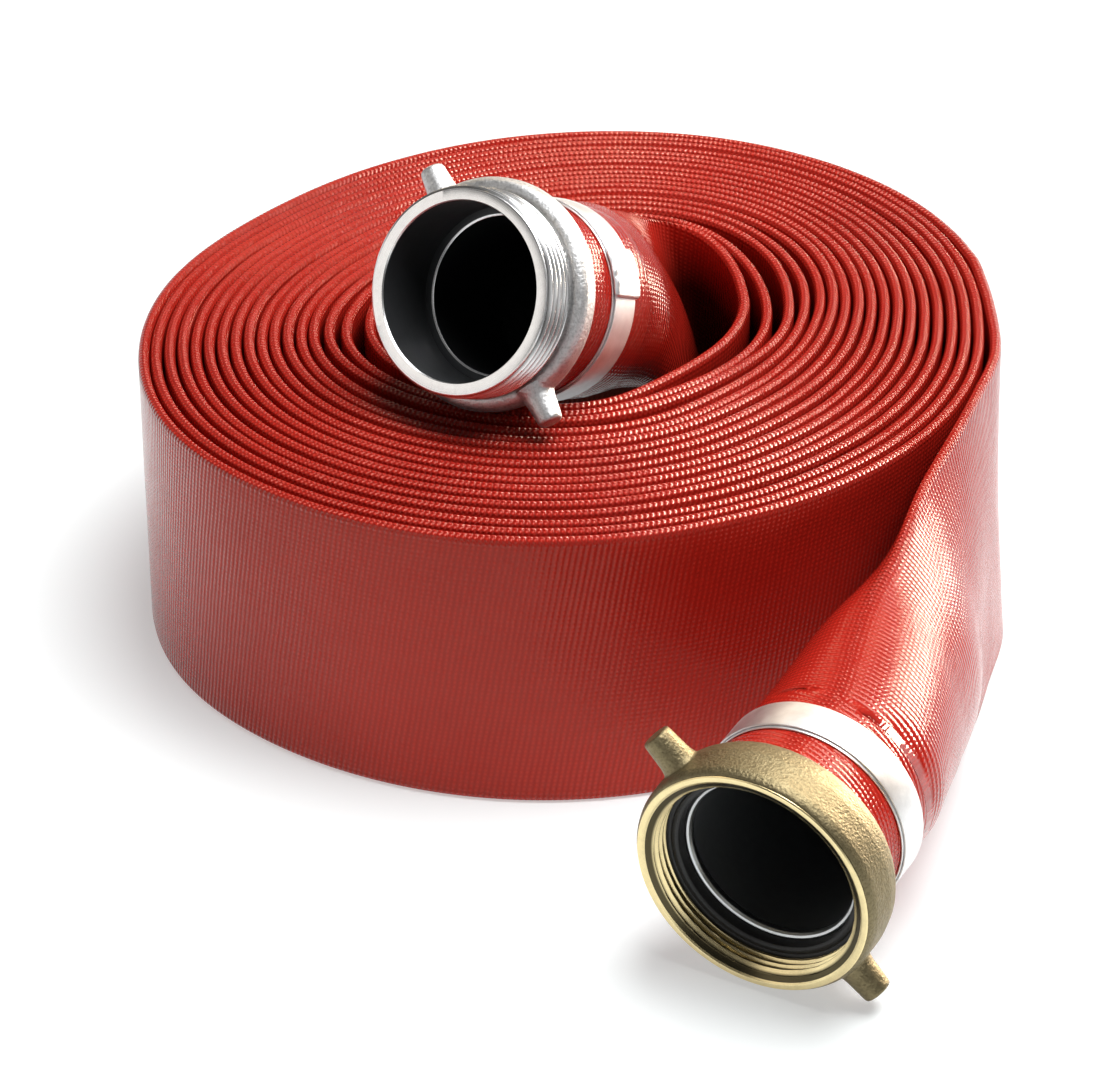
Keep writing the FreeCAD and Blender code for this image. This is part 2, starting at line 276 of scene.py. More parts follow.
def cast_material(name, dark, light, rough_lo, rough_hi, grain_scale=900.0, strength=0.55, metal=1.0):
    """sand casting: fine pitted grain and slow tone changes"""
    n = Nodes(name)
    pos = n.position()
    g1 = n.noise(pos, grain_scale, 3.0, 0.6)
    g2 = n.noise(pos, grain_scale * 0.33, 2.0, 0.5)
    vor = n.add("ShaderNodeTexVoronoi")
    vor.inputs["Scale"].default_value = grain_scale * 0.8
    n.link(pos, vor.inputs["Vector"])
    h = n.math("MULTIPLY_ADD", g2, 0.6, n.math("MULTIPLY_ADD", vor.outputs["Distance"], 0.5, g1))
    n.link(n.bump(h, strength, 0.00035), n.bsdf.inputs["Normal"])
    tone = n.noise(pos, 30.0, 5.0, 0.7)
    col = n.ramp(tone, [(0.15, dark), (0.85, light)])
    pit = n.ramp(g1, [(0.36, (0, 0, 0, 1)), (0.52, (1, 1, 1, 1))])
    dk = tuple(c * 0.55 for c in dark[:3]) + (1,)
    col = n.mix(n.math("MULTIPLY_ADD", pit, -0.45, 0.45), col, dk)
    n.link(col, n.bsdf.inputs["Base Color"])
    n.bsdf.inputs["Metallic"].default_value = metal
    n.link(n.math("MULTIPLY_ADD", g2, rough_hi - rough_lo, rough_lo), n.bsdf.inputs["Roughness"])
    return n.mat


def turned_material(name, color, rough, axis_frame, at, metal=1.0, pitch=0.00035, strength=0.25, groove=None, groove_end=1.0):
    """machined metal: fine rings left by the tool round the coupling's own axis, and painted shade darkening the root
    of the thread when a groove is given
    """
    n = Nodes(name)
    pos = n.position()
    c = at * MM
    sub = n.add("ShaderNodeVectorMath", operation="SUBTRACT")
    n.link(pos, sub.inputs[0])
    sub.inputs[1].default_value = tuple(c)
    dot = n.add("ShaderNodeVectorMath", operation="DOT_PRODUCT")
    n.link(sub.outputs[0], dot.inputs[0])
    dot.inputs[1].default_value = tuple(axis_frame[0])
    depth = dot.outputs["Value"]
    ln = n.add("ShaderNodeVectorMath", operation="LENGTH")
    n.link(sub.outputs[0], ln.inputs[0])
    r2 = n.math("SUBTRACT", n.math("POWER", ln.outputs["Value"], 2.0), n.math("POWER", depth, 2.0))
    rad = n.math("SQRT", n.math("MAXIMUM", r2, 0.0))
    comb = n.add("ShaderNodeCombineXYZ")
    n.link(n.math("MULTIPLY", depth, 1.0 / pitch), comb.inputs[0])
    n.link(n.math("MULTIPLY", rad, 1.0 / pitch), comb.inputs[1])
    g = n.noise(comb.outputs[0], 1.0, 2.0, 0.6)
    n.link(n.bump(g, strength, 0.00006), n.bsdf.inputs["Normal"])
    spots = n.noise(pos, 240.0, 4.0, 0.7)
    lo = tuple(k * 0.90 for k in color) + (1,)
    col = n.ramp(spots, [(0.3, lo), (0.62, tuple(color) + (1,))])
    if groove:
        # painted shade in the root of the thread: the colour darkens to a tenth towards the root, over the threaded
        # length only
        near, far = groove
        k = n.math("MULTIPLY_ADD", rad, 1.0 / (far - near), -near / (far - near), clamp=True)
        k = n.math("MULTIPLY", k, n.math("LESS_THAN", depth, groove_end))
        k = n.math("MULTIPLY", k, n.math("GREATER_THAN", depth, 0.0006))
        col = n.mix(k, col, tuple(c * 0.10 for c in color) + (1,))
    n.link(col, n.bsdf.inputs["Base Color"])
    n.bsdf.inputs["Metallic"].default_value = metal
    n.link(n.math("MULTIPLY_ADD", g, 0.16, rough), n.bsdf.inputs["Roughness"])
    return n.mat


def band_material():
    n = Nodes("band_steel")
    pos = n.position()
    g = n.noise(pos, 1500.0, 3.0, 0.6)
    s = n.noise(pos, 140.0, 4.0, 0.6)
    n.link(n.ramp(s, [(0.3, (0.66, 0.66, 0.67, 1)), (0.7, (0.80, 0.80, 0.81, 1))]), n.bsdf.inputs["Base Color"])
    n.bsdf.inputs["Metallic"].default_value = 1.0
    n.link(n.math("MULTIPLY_ADD", s, 0.14, 0.36), n.bsdf.inputs["Roughness"])
    n.link(n.bump(g, 0.18, 0.0001, n.bump(s, 0.15, 0.0006)), n.bsdf.inputs["Normal"])
    return n.mat


def rubber_material():
    n = Nodes("black_rubber")
    pos = n.position()
    g = n.noise(pos, 1200.0, 3.0, 0.6)
    n.link(n.ramp(g, [(0.3, (0.010, 0.010, 0.010, 1)), (0.7, (0.024, 0.023, 0.023, 1))]), n.bsdf.inputs["Base Color"])
    n.bsdf.inputs["Roughness"].default_value = 0.52
    n.link(n.bump(g, 0.3, 0.0002), n.bsdf.inputs["Normal"])
    return n.mat


RED = hose_material()
LINING = lining_material()
ALU_CAST = cast_material("cast_aluminium", (0.50, 0.50, 0.505, 1), (0.70, 0.70, 0.70, 1), 0.34, 0.62)
BRASS_CAST = cast_material("cast_brass", (0.17, 0.138, 0.074, 1), (0.28, 0.23, 0.132, 1), 0.40, 0.62, 950.0, 0.8)
ALU_TURNED = turned_material("turned_aluminium", (0.86, 0.86, 0.86), 0.20, MALE, MALE_AT, groove=(0.0437, 0.0424), groove_end=0.0162)
# painted shade: the male coupling's bore is the same aluminium as its outside, coloured near black because it lies in
# shade
ALU_BORE_SHADED = turned_material("bore_aluminium_painted_shade", (0.045, 0.047, 0.050), 0.34, MALE, MALE_AT, metal=0.55, pitch=0.0006, strength=0.4)
ALU_SHANK = turned_material("shank_aluminium", (0.62, 0.63, 0.63), 0.24, FEM, FEM_AT)
# painted shade: the female shank's bore is the same aluminium as its outside, coloured dark grey because it lies in
# shade
ALU_SHANK_BORE_SHADED = turned_material("shank_bore", (0.11, 0.115, 0.118), 0.45, FEM, FEM_AT, metal=0.35, pitch=0.0006, strength=0.4)
BRASS_TURNED = turned_material("turned_brass", (0.80, 0.66, 0.36), 0.16, FEM, FEM_AT, groove=(0.0432, 0.0441), groove_end=0.0112)
BAND = band_material()
RUBBER = rubber_material()

# ---------------------------------------------------------------- the hose
# radius of the wall's middle over the turns: the outer face of the roll, and
# its four innermost turns, as angle and radius in mm
OUTER = [(0, 184.9), (8, 187.2), (16, 190), (25, 193), (35, 196), (44, 198), (57, 199), (69, 198), (80, 194), (92, 189.4),
         (104, 184.5), (117, 179), (132, 175.4), (140, 174.2), (149, 175.6), (159, 179.4), (171, 184.5), (187, 189.5),
         (195, 192), (203, 195), (216, 196.5), (229, 195), (243, 194), (253, 193), (265, 191), (274, 188.7), (287, 184.8),
         (300, 182), (315, 180.3), (330, 179.6), (345, 179.2), (360, 179.0)]
INNER = [
    (13, [(0, 105.6), (14, 112.3), (28, 119.9), (43, 126.4), (53, 128.2), (62, 128), (70, 126.5), (84, 121.3), (100, 114.3),
          (115, 108.8), (130, 104.5), (145, 103.5), (160, 106.5), (175, 111.5), (190, 114.2), (205, 113.2), (220, 110.5),
          (235, 106.5), (250, 103), (265, 99.8), (280, 97), (295, 93.3), (308, 89.6), (316, 89), (326, 90.1), (335, 91.3),
          (343, 93.7), (353, 96.7)]),
    (14, [(2, 100), (12, 104.3), (22, 109.3), (33, 113.8), (43, 118.5), (53, 121.4), (62, 122.2), (73, 119.8), (84, 115.5),
          (100, 108.7), (115, 103.2), (130, 99), (145, 97.8), (160, 100), (175, 104.8), (190, 107.9), (200, 106.6),
          (209, 104.3), (219, 101.3), (228, 98.9), (240, 96), (255, 93.3), (270, 91), (285, 87.3), (300, 83.4), (311, 82),
          (317, 82.2), (325, 83.2), (333, 84.8), (341, 87.3), (349, 90.3), (358, 93)]),
    (15, [(8, 95.4), (17, 98.4), (26, 102.7), (34, 106.8), (44, 111.3), (53, 114.3), (62, 115.6), (70, 113.9), (83, 109.6),
          (100, 103.0), (115, 97.3), (130, 93.3), (145, 92), (160, 93.7), (172, 96.5), (183, 99.5), (190, 99.9), (198, 99.2),
          (207, 97.6), (215, 95.6), (225, 92.7), (240, 89.3), (255, 86.8), (270, 84.6), (283, 81.2), (295, 77.9),
          (304, 76.7), (313, 76.8), (325, 78), (340, 80.8), (354, 83.4)]),
    (16, [(2, 84.6), (13, 86.6), (25, 90.3), (37, 96), (45, 100.3), (54, 106), (62, 108.8), (71, 107.9), (85, 103.8),
          (100, 97.0), (115, 91.3), (130, 87.6), (145, 86), (160, 86.8), (175, 88.6), (190, 89), (200, 88), (215, 85.5),
          (230, 83), (245, 81), (260, 79.3), (275, 77), (284, 74.2), (290, 71.5), (298, 68), (307, 65.6), (316, 65),
          (326, 65.1), (336, 66.7), (347, 69.2)]),
    (17, [(-1, 72.3), (10, 76.1), (20, 79.6), (30, 84.7), (39, 90), (45, 94.3), (50, 97.9), (55, 100.8), (61, 102.2),
          (66, 101.7), (70, 100.6), (76, 98.6), (84, 96.5)])]


def smoothed(v, s):
    k = np.exp(-0.5 * (np.arange(-3 * s, 3 * s + 1) / s) ** 2)
    k /= k.sum()
    return np.convolve(np.pad(v, 3 * s, mode="reflect", reflect_type="odd"), k, "valid")


def spiral():
    ph = np.array([360 * j + t for j, rows in INNER for t, _ in rows], float)
    rr = np.array([r for _, rows in INNER for _, r in rows], float)
    g = np.arange(360 * 13, 360 * 17 + 83, 1.0)
    inner = smoothed(np.interp(g, ph, rr), 5)
    o = np.array(OUTER, float)
    outer = smoothed(np.interp(np.arange(0, 361, 1.0), o[:, 0], o[:, 1]), 5) - 2.5
    pitch = (outer - inner[:361]) / 13.0
    phi = np.arange(0, g[-1] + 1, 1.0)
    rad = np.empty_like(phi)
    for i, p in enumerate(phi):
        if p < 360 * 13:
            k = int(p // 360)
            rad[i] = outer[int(p - 360 * k)] - k * pitch[int(p - 360 * k)]
        else:
            rad[i] = inner[int(p - 360 * 13)]
    return phi, smoothed(rad, 4)


def catmull(points, step):
    """smooth curve through rows of numbers, about evenly spaced by the first six"""
    p = np.asarray(points, float)
    p = np.vstack([2 * p[0] - p[1], p, 2 * p[-1] - p[-2]])
    out = []
    for i in range(1, len(p) - 2):
        d = max(np.linalg.norm(p[i + 1, :3] - p[i, :3]), np.linalg.norm(p[i + 1, 3:6] - p[i, 3:6]))
        n = max(2, int(round(d / step)))
        t = np.arange(n)[:, None] / n
        a, b, c, e = p[i - 1], p[i], p[i + 1], p[i + 2]
        out.append(0.5 * (2 * b + (c - a) * t + (2 * a - 5 * b + 4 * c - e) * t ** 2 + (3 * b - a - 3 * c + e) * t ** 3))
    out.append(p[-2][None])
    return np.vstack(out)


def shank_rows(at, axes, depths, up_hint):
    """round sections on a shank: top fold, low fold and half thickness, going with the depths"""
    x, _, _ = axes
    up = np.array(up_hint, float)
    up = unit(up - x * (up @ x))
    rows = []
    for s in depths:
        c = at - SHIFT + x * s
        rows.append(np.concatenate([c + up * R_HOSE, c - up * R_HOSE, [R_HOSE]]))
    return rows


def row(top, low, half):
    return np.concatenate([top, low, [half]])


# rows: top fold xyz, low fold xyz, half thickness; female end first
fem_rows = shank_rows(FEM_AT, FEM, (30.1, 44, 58, 70, 78), (-0.05, -0.07, 1.0))
tail = [
    ((115.5, -205.0, 105.0), (132.0, -208.0, 9.5), 34.2),
    ((129.0, -173.0, 112.5), (153.0, -174.0, 5.0), 25.0),
    ((141.5, -137.0, 120.0), (167.0, -138.0, 1.5), 15.0),
    ((158.5, -97.0, 125.0), (177.0, -100.0, 0.4), 7.6),
    ((170.5, -65.0, 126.5), (186.5, -61.0, 0.3), 3.9),
    ((181.2, -30.0, 126.9), (184.6, -30.0, 0.2), 2.7),
    ((182.8, 12.0, 126.9), (182.8, 12.0, 0.1), 2.5),
]
fem_rows += [row(*t) for t in tail]
phi, rad = spiral()
START, END = 16, 360 * 17 + 14
roll_xy = np.stack([rad * np.cos(np.radians(phi)), rad * np.sin(np.radians(phi))], 1)
first = [row((*roll_xy[i], 127.0), (*roll_xy[i], 0.1), 2.5) for i in (START, START + 4)]
outer_rows = catmull(fem_rows + first, 3.0)
inner_pts = [
    ((67.0, 66.0, 126.9), (67.8, 63.5, 0.2), 2.5),
    ((57.0, 84.0, 127.0), (62.0, 75.5, 1.5), 2.6),
    ((46.0, 90.5, 127.2), (60.0, 70.0, 8.0), 3.0),
    ((37.0, 92.0, 128.0), (61.0, 58.0, 20.0), 4.0),
    ((29.0, 90.5, 130.8), (61.5, 38.0, 38.0), 6.5),
    ((19.5, 82.0, 137.5), (58.5, 10.0, 66.0), 12.0),
    ((6.5, 63.0, 147.5), (47.0, -17.0, 96.0), 20.0),
    ((-11.0, 31.0, 160.5), (30.5, -39.0, 118.5), 33.0),
]
end_in = [row((*roll_xy[END - k], 127.0), (*roll_xy[END - k], 0.1), 2.5) for k in (5, 0)]
end_in.append(row((73.0, 43.0, 126.9), (73.0, 43.0, 0.1), 2.5))
inner_rows = catmull(end_in + [row(*t) for t in inner_pts]
                     + shank_rows(MALE_AT, MALE, (86, 76, 64, 50, 40, 32.9), (-0.558, 0.682, 0.473)), 3.0)
# the turns, evenly spaced along the strip
seg = np.concatenate([[0], np.cumsum(np.hypot(*np.diff(roll_xy, axis=0).T))])
s0, s1 = seg[START + 4], seg[END - 5]
count = int((s1 - s0) / (4.0))
sam = np.linspace(s0, s1, count)[1:-1]



def drift(n, reach, seed):
    """slow random wander in -1..1"""
    r = np.random.default_rng(seed)
    at = np.arange(0, n + reach, reach)
    return smoothed(np.interp(np.arange(n), at, r.uniform(-1, 1, len(at))), max(2, reach // 3))


fade = np.clip(np.minimum(np.arange(len(sam)), np.arange(len(sam))[::-1]) / 30.0, 0, 1)
wander = 1 + fade * 0.32 * drift(len(sam), 34, 5) / 150.0
mx, my = np.interp(sam, seg, roll_xy[:, 0]) * wander, np.interp(sam, seg, roll_xy[:, 1]) * wander
ztop = 127.0 + fade * (0.9 * drift(len(sam), 40, 3) - 0.4)
zlow = 0.1 + fade * (0.25 + 0.25 * drift(len(sam), 40, 4))
mid_rows = np.stack([mx, my, ztop, mx, my, zlow, 2.5 - 0.12 * fade], 1)
rows = np.vstack([outer_rows, mid_rows, inner_rows])
TOP, LOW, HALF_B = rows[:, 0:3] + SHIFT, rows[:, 3:6] + SHIFT, rows[:, 6]
MID = (TOP + LOW) / 2
UP = unit(TOP - LOW)
HALF_A = np.linalg.norm(TOP - LOW, axis=1) / 2
HALF_B = np.clip(HALF_B, 2.3, HALF_A)
TRAVEL = unit(np.gradient(MID, axis=0))
SIDE = unit(np.cross(TRAVEL, UP))
dist = np.concatenate([[0], np.cumsum(np.linalg.norm(np.diff(MID, axis=0), axis=1))])
HOSE_LENGTH = dist[-1]
n_all, n_out, n_in = len(rows), len(outer_rows), len(inner_rows)

NF, NI = 6, 13  # points on an edge fold's quarter, and across a side
M_SIDE = 2 * NF + NI
RING = 2 * M_SIDE - 2


def across(a, even):
    """positions from the top fold to the low fold: close together at the folds when the
    hose is flat, even round the section when it is round"""
    fold = 2.5 * (1 - np.cos(np.linspace(0, math.pi / 2, NF)))
    flat = np.concatenate([a - fold, np.linspace(a - 2.5, 2.5 - a, NI + 2)[1:-1], (fold - a)[::-1]])
    return flat * (1 - even) + a * np.cos(np.linspace(0, math.pi, M_SIDE)) * even


def build_hose():
    verts = np.empty((n_all, RING, 3))
    girth = np.empty((n_all, RING + 1))
    for i in range(n_all):
        a, b = HALF_A[i], HALF_B[i]
        c = max(0.0, (b - 2.5) / (a - 2.5))
        thin = min(b, 2.5)
        x = np.clip(across(a, min(1.0, c * 1.25)), -a, a)
        w = math.sqrt(max(0.0, 1 - c))
        stad = w * thin / 2.5 * np.sqrt(np.maximum(2.5 ** 2 - np.maximum(0, np.abs(x) - (a - 2.5)) ** 2, 0))
        k = min(1.0, max(0.0, c - 0.22) / 0.55)
        k = k * k * (3 - 2 * k)
        lens = math.sqrt(max(0.0, b * b - (thin * w) ** 2)) * np.maximum(1 - (x / a) ** 2, 0) ** (1.0 - 0.5 * k)
        y = np.sqrt(stad ** 2 + lens ** 2)
        pts = np.vstack([MID[i] + np.outer(x, UP[i]) + np.outer(y, SIDE[i]),
                         (MID[i] + np.outer(x, UP[i]) - np.outer(y, SIDE[i]))[-2:0:-1]])
        verts[i] = pts
        d = np.linalg.norm(np.diff(np.vstack([pts, pts[:1]]), axis=0), axis=1)
        girth[i] = np.concatenate([[0], np.cumsum(d)])
    girth *= (260.0 / girth[:, -1])[:, None]
    return verts, girth


verts, girth = build_hose()
V = [verts.reshape(-1, 3)]
idx = np.arange(n_all * RING).reshape(n_all, RING)
nxt = np.roll(np.arange(RING), -1)
quads = np.stack([idx[:-1, :], idx[1:, :], idx[1:][:, nxt], idx[:-1][:, nxt]], -1).reshape(-1, 4)
U = np.broadcast_to(dist[:, None], (n_all, RING + 1))
uv_q = np.stack([np.stack([U[:-1, :-1], girth[:-1, :-1]], -1), np.stack([U[1:, :-1], girth[1:, :-1]], -1),
                 np.stack([U[1:, 1:], girth[1:, 1:]], -1), np.stack([U[:-1, 1:], girth[:-1, 1:]], -1)], 2).reshape(-1, 2)
faces, uvs, mat_ids = quads.tolist(), [uv_q], [0] * len(quads)
n_verts = n_all * RING


def inner_pocket(order, prev):
    """the hose's inside, from its cut end to where it closes flat"""
    global n_verts
    rows_idx, extra = [prev], []
    for i in order:
        rel = verts[i] - MID[i]
        up, sd = rel @ UP[i], rel @ SIDE[i]
        b_in = HALF_B[i] - WALL
        if b_in < 0.5:
            break
        extra.append(MID[i] + np.outer(up * (HALF_A[i] - WALL) / HALF_A[i], UP[i]) + np.outer(sd * b_in / HALF_B[i], SIDE[i]))
        rows_idx.append(np.arange(n_verts, n_verts + RING))
        n_verts += RING
    V.append(np.array(extra).reshape(-1, 3))
    for r in range(len(rows_idx) - 1):
        p0, p1 = rows_idx[r], rows_idx[r + 1]
        here, there = dist[order[max(r - 1, 0)]], dist[order[r]]
        for j in range(RING):
            k = (j + 1) % RING
            faces.append([int(p0[j]), int(p0[k]), int(p1[k]), int(p1[j])])
            g0, g1 = girth[order[r], j], girth[order[r], j + 1]
            uvs.append(np.array([(here, g0), (here, g1), (there, g1), (there, g0)]))
            mat_ids.append(0 if r == 0 else 1)
    last = rows_idx[-1]
    outs = [int(v) for v in last[:M_SIDE]]
    ins = [int(last[0])] + [int(v) for v in last[:M_SIDE - 1:-1]] + [int(last[M_SIDE - 1])]
    for j in range(M_SIDE - 1):
        quad = [outs[j], outs[j + 1], ins[j + 1], ins[j]]
        quad = [q for n_, q in enumerate(quad) if q not in quad[:n_]]
        faces.append(quad)
        uvs.append(np.zeros((len(quad), 2)))
        mat_ids.append(1)


inner_pocket(list(range(0, n_out)), idx[0])
inner_pocket(list(range(n_all - 1, n_all - n_in, -1)), idx[-1])
hose = new_mesh("hose", np.vstack(V), faces, [RED, LINING], uv=np.vstack(uvs) * MM, mat_ids=mat_ids)
fix_normals(hose)
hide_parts("hose_roll", "hose_outer_end", "hose_inner_end")
print("hose length %.3f m, stations %d, faces %d" % (HOSE_LENGTH * MM, n_all, len(faces)))


# ---------------------------------------------------------------- lathe work
PITCH = 25.4 / 8
SEG = 200


def spun(axes, at, D, R, ang):
    x, y, z = axes
    return (at + D[..., None] * x + (R * np.cos(ang))[..., None] * y + (R * np.sin(ang))[..., None] * z)


def ring_faces(n, seg, base=0):
    idx = np.arange(n * seg).reshape(n, seg) + base
    a, b = idx, np.roll(idx, -1, 0)
    nx = np.roll(np.arange(seg), -1)
    return np.stack([a, b, b[:, nx], a[:, nx]], -1).reshape(-1, 4)


def lathe(name, axes, at, profile, mats, body="hose", ids=None, thread=None, auto=32, seg=SEG):
    """closed profile of (depth, radius) turned round the axis. thread = (start, end, crest,
    cut, inside): the profile is the blank, and a right-hand helical groove is cut into it"""
    prof = np.array(profile, float)
    n = len(prof)
    ang = np.broadcast_to(np.arange(seg) * 2 * math.pi / seg, (n, seg))
    D, R = np.repeat(prof[:, :1], seg, 1), np.repeat(prof[:, 1:], seg, 1)
    if thread:
        s0_, s1_, crest, cut, inside = thread
        f = D / PITCH - ang / (2 * math.pi)
        f = f - np.floor(f)
        tri = np.clip(np.abs(2 * f - 1) * 1.3 - 0.15, 0, 1)
        run = np.clip((s1_ - D) / (PITCH * 0.4), 0, 1)
        on = (D >= s0_ - 1e-6) & (D <= s1_ + 1e-6)
        T = crest + cut * tri * run if inside else crest - cut * tri * run
        R = np.where(on, np.maximum(R, T) if inside else np.minimum(R, T), R)
    P = spun(axes, at, D, R, ang).reshape(-1, 3)
    F = ring_faces(n, seg)
    mid = [0] * len(F) if ids is None else np.repeat(np.array(ids, dtype=np.int32), seg)
    ob = new_mesh(name, P, F.tolist(), mats, body, mat_ids=mid)
    fix_normals(ob)
    if auto:
        sharpen(ob, auto)
    return ob


def rounded(points, r=0.4, n=3):
    """closed profile with its corners rounded"""
    p = np.array(points, float)
    out = []
    for i in range(len(p)):
        a, b, c = p[i - 1], p[i], p[(i + 1) % len(p)]
        u, v = a - b, c - b
        lu, lv = np.linalg.norm(u), np.linalg.norm(v)
        d = min(r, lu * 0.45, lv * 0.45)
        if d < 0.02:
            out.append(b)
            continue
        p0, p1 = b + u / lu * d, b + v / lv * d
        for t in np.linspace(0, 1, n + 1):
            out.append((1 - t) ** 2 * p0 + 2 * t * (1 - t) * b + t ** 2 * p1)
    return [tuple(q) for q in out]


def radial(axes, roll):
    a = math.radians(roll)
    return axes[1] * math.cos(a) + axes[2] * math.sin(a)


def casting(name, axes, at, profile, lug_at, pins, rolls, mat, body, voxel, soften):
    """a turned ring and its two pin lugs melted into one casting"""
    prof = np.array(profile, float)
    n, seg = len(prof), 180
    ang = np.broadcast_to(np.arange(seg) * 2 * math.pi / seg, (n, seg))
    parts = [spun(axes, at, np.repeat(prof[:, :1], seg, 1), np.repeat(prof[:, 1:], seg, 1), ang).reshape(-1, 3)]
    F = ring_faces(n, seg).tolist()
    count = len(parts[0])
    for roll in rolls:
        d = radial(axes, roll)
        e2 = np.cross(d, axes[0])
        m = 40
        t = np.arange(m) * 2 * math.pi / m
        L = np.array([at + axes[0] * lug_at + d * rr + w * (np.cos(t)[:, None] * axes[0] + np.sin(t)[:, None] * e2)
                      for rr, w in pins])
        parts.append(L.reshape(-1, 3))
        li = np.arange(len(pins) * m).reshape(len(pins), m) + count
        for i in range(len(pins) - 1):
            for j in range(m):
                q = (j + 1) % m
                F.append([int(li[i, j]), int(li[i + 1, j]), int(li[i + 1, q]), int(li[i, q])])
        F.append([int(v) for v in li[0]])
        F.append([int(v) for v in li[-1][::-1]])
        count += len(pins) * m
    me = bpy.data.meshes.new(name + "_raw")
    me.from_pydata((np.vstack(parts) * MM).tolist(), [], F)
    ob = bpy.data.objects.new(name, me)
    scene.collection.objects.link(ob)
    fix_normals(ob)
    mod = ob.modifiers.new("melt", "REMESH")
    mod.mode = "VOXEL"
    mod.voxel_size = voxel * MM
    sm = ob.modifiers.new("soften", "SMOOTH")
    sm.factor, sm.iterations = 0.5, soften
    dg = bpy.context.evaluated_depsgraph_get()
    done = bpy.data.meshes.new_from_object(ob.evaluated_get(dg))
    ob.modifiers.clear()
    ob.data = done
    bpy.data.meshes.remove(me)
    done.name = name
    done.materials.clear()
    done.materials.append(mat)
    done.polygons.foreach_set("material_index", np.zeros(len(done.polygons), dtype=np.int32))
    done.polygons.foreach_set("use_smooth", np.full(len(done.polygons), True))
    done.update()
    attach(ob, body)
    return ob


# ---------------------------------------------------------------- male coupling
TN = 100
male_screw = [(s, 42.6 + 1.4 * min(1.0, s / 1.6)) for s in np.linspace(0.12, 15.5, TN)]
machined = [(0.0, 38.0), (0.0, 42.45)] + male_screw + [(15.9, 41.6), (18.6, 41.6), (18.9, 41.0), (32.2, 41.0), (32.5, 40.0),
                                                       (32.8, 38.95), (86.0, 38.9), (86.0, 35.4), (34.0, 35.4),
                                                       (33.5, 35.2), (33.1, 33.9), (32.4, 33.4), (31.9, 34.2),
                                                       (31.7, 37.3), (0.8, 37.4)]
bore_from = 2 + TN + 7
ids = [1 if i >= bore_from and i not in range(bore_from + 1, bore_from + 5) else 0 for i in range(len(machined))]
ids[-1] = 0
male_body = lathe("male_coupling_turned", MALE, MALE_AT, machined, [ALU_TURNED, ALU_BORE_SHADED], ids=ids,
                  thread=(0.0, 15.5, 44.0, 1.7, False), auto=30)
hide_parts("male_coupling")
male_cast = casting(
    "male_coupling_casting", MALE, MALE_AT,
    rounded([(18.6, 41.2), (18.3, 45.0), (19.6, 47.6), (22.2, 49.0), (28.2, 48.8), (30.4, 47.6), (32.6, 44.2), (32.8, 41.2)], 0.9),
    25.0,
    [(44.4, 0.02), (44.4, 8.9), (46.6, 7.9), (49.4, 6.7), (52.0, 6.25), (59.9, 5.35), (60.9, 5.0), (61.45, 4.2), (61.5, 0.02)],
    (43.7, 223.7), ALU_CAST, "hose", 0.5, 5)
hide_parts("male_coupling")

# ---------------------------------------------------------------- female coupling
nut_screw = [(s, 47.0 - 4.8 * min(1.0, s / 3.0)) for s in np.linspace(0.10, 11.0, TN)]
nut_in = nut_screw + [(11.15, 45.0), (22.35, 45.0), (22.4, 41.6), (27.8, 41.6), (27.8, 45.4), (14.0, 47.6), (1.2, 49.3),
                      (0.35, 49.25), (0.0, 48.8), (0.0, 47.1)]
nut_turned = lathe("swivel_nut_turned", FEM, FEM_AT, nut_in, [BRASS_TURNED], body="swivel_nut",
                   thread=(0.0, 11.0, 42.2, 1.95, True), auto=30)
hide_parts("swivel_nut")
nut_cast = casting(
    "swivel_nut_casting", FEM, FEM_AT,
    rounded([(0.5, 48.4), (0.8, 49.6), (2.2, 50.5), (4.5, 51.2), (16.0, 51.4), (22.0, 50.4), (26.0, 48.4), (27.7, 46.4), (27.8, 44.6),
             (14.0, 46.6)], 0.6),
    14.0,
    [(47.0, 0.02), (47.0, 9.2), (49.5, 8.4), (52.6, 7.2), (55.0, 6.8), (64.8, 6.05), (65.6, 5.75), (66.0, 5.1), (66.05, 0.02)],
    (44.1, 224.1), BRASS_CAST, "swivel_nut", 0.55, 4)
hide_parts("swivel_nut")

gasket = lathe("gasket", FEM, FEM_AT,
               rounded([(11.4, 38.6), (11.6, 40.2), (12.0, 40.5), (12.0, 41.0), (11.6, 41.3), (11.4, 43.9), (11.9, 44.6), (17.3, 44.6),
                        (17.3, 37.4), (12.2, 37.5)], 0.35),
               [RUBBER], auto=40)
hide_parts("gasket")
shank_prof = [(17.3, 44.5), (17.7, 44.6), (21.8, 44.6), (22.0, 44.3), (22.0, 41.3), (29.7, 41.2), (29.8, 38.9), (78.0, 38.9),
              (78.0, 35.4), (20.6, 35.4), (19.3, 35.0), (17.9, 34.9), (16.9, 35.5), (16.6, 36.4), (16.9, 37.1), (17.3, 37.5)]
sid = [0] * len(shank_prof)
sid[8] = 1
shank = lathe("female_shank", FEM, FEM_AT, shank_prof, [ALU_SHANK, ALU_SHANK_BORE_SHADED], ids=sid, auto=35)
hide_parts("female_shank")


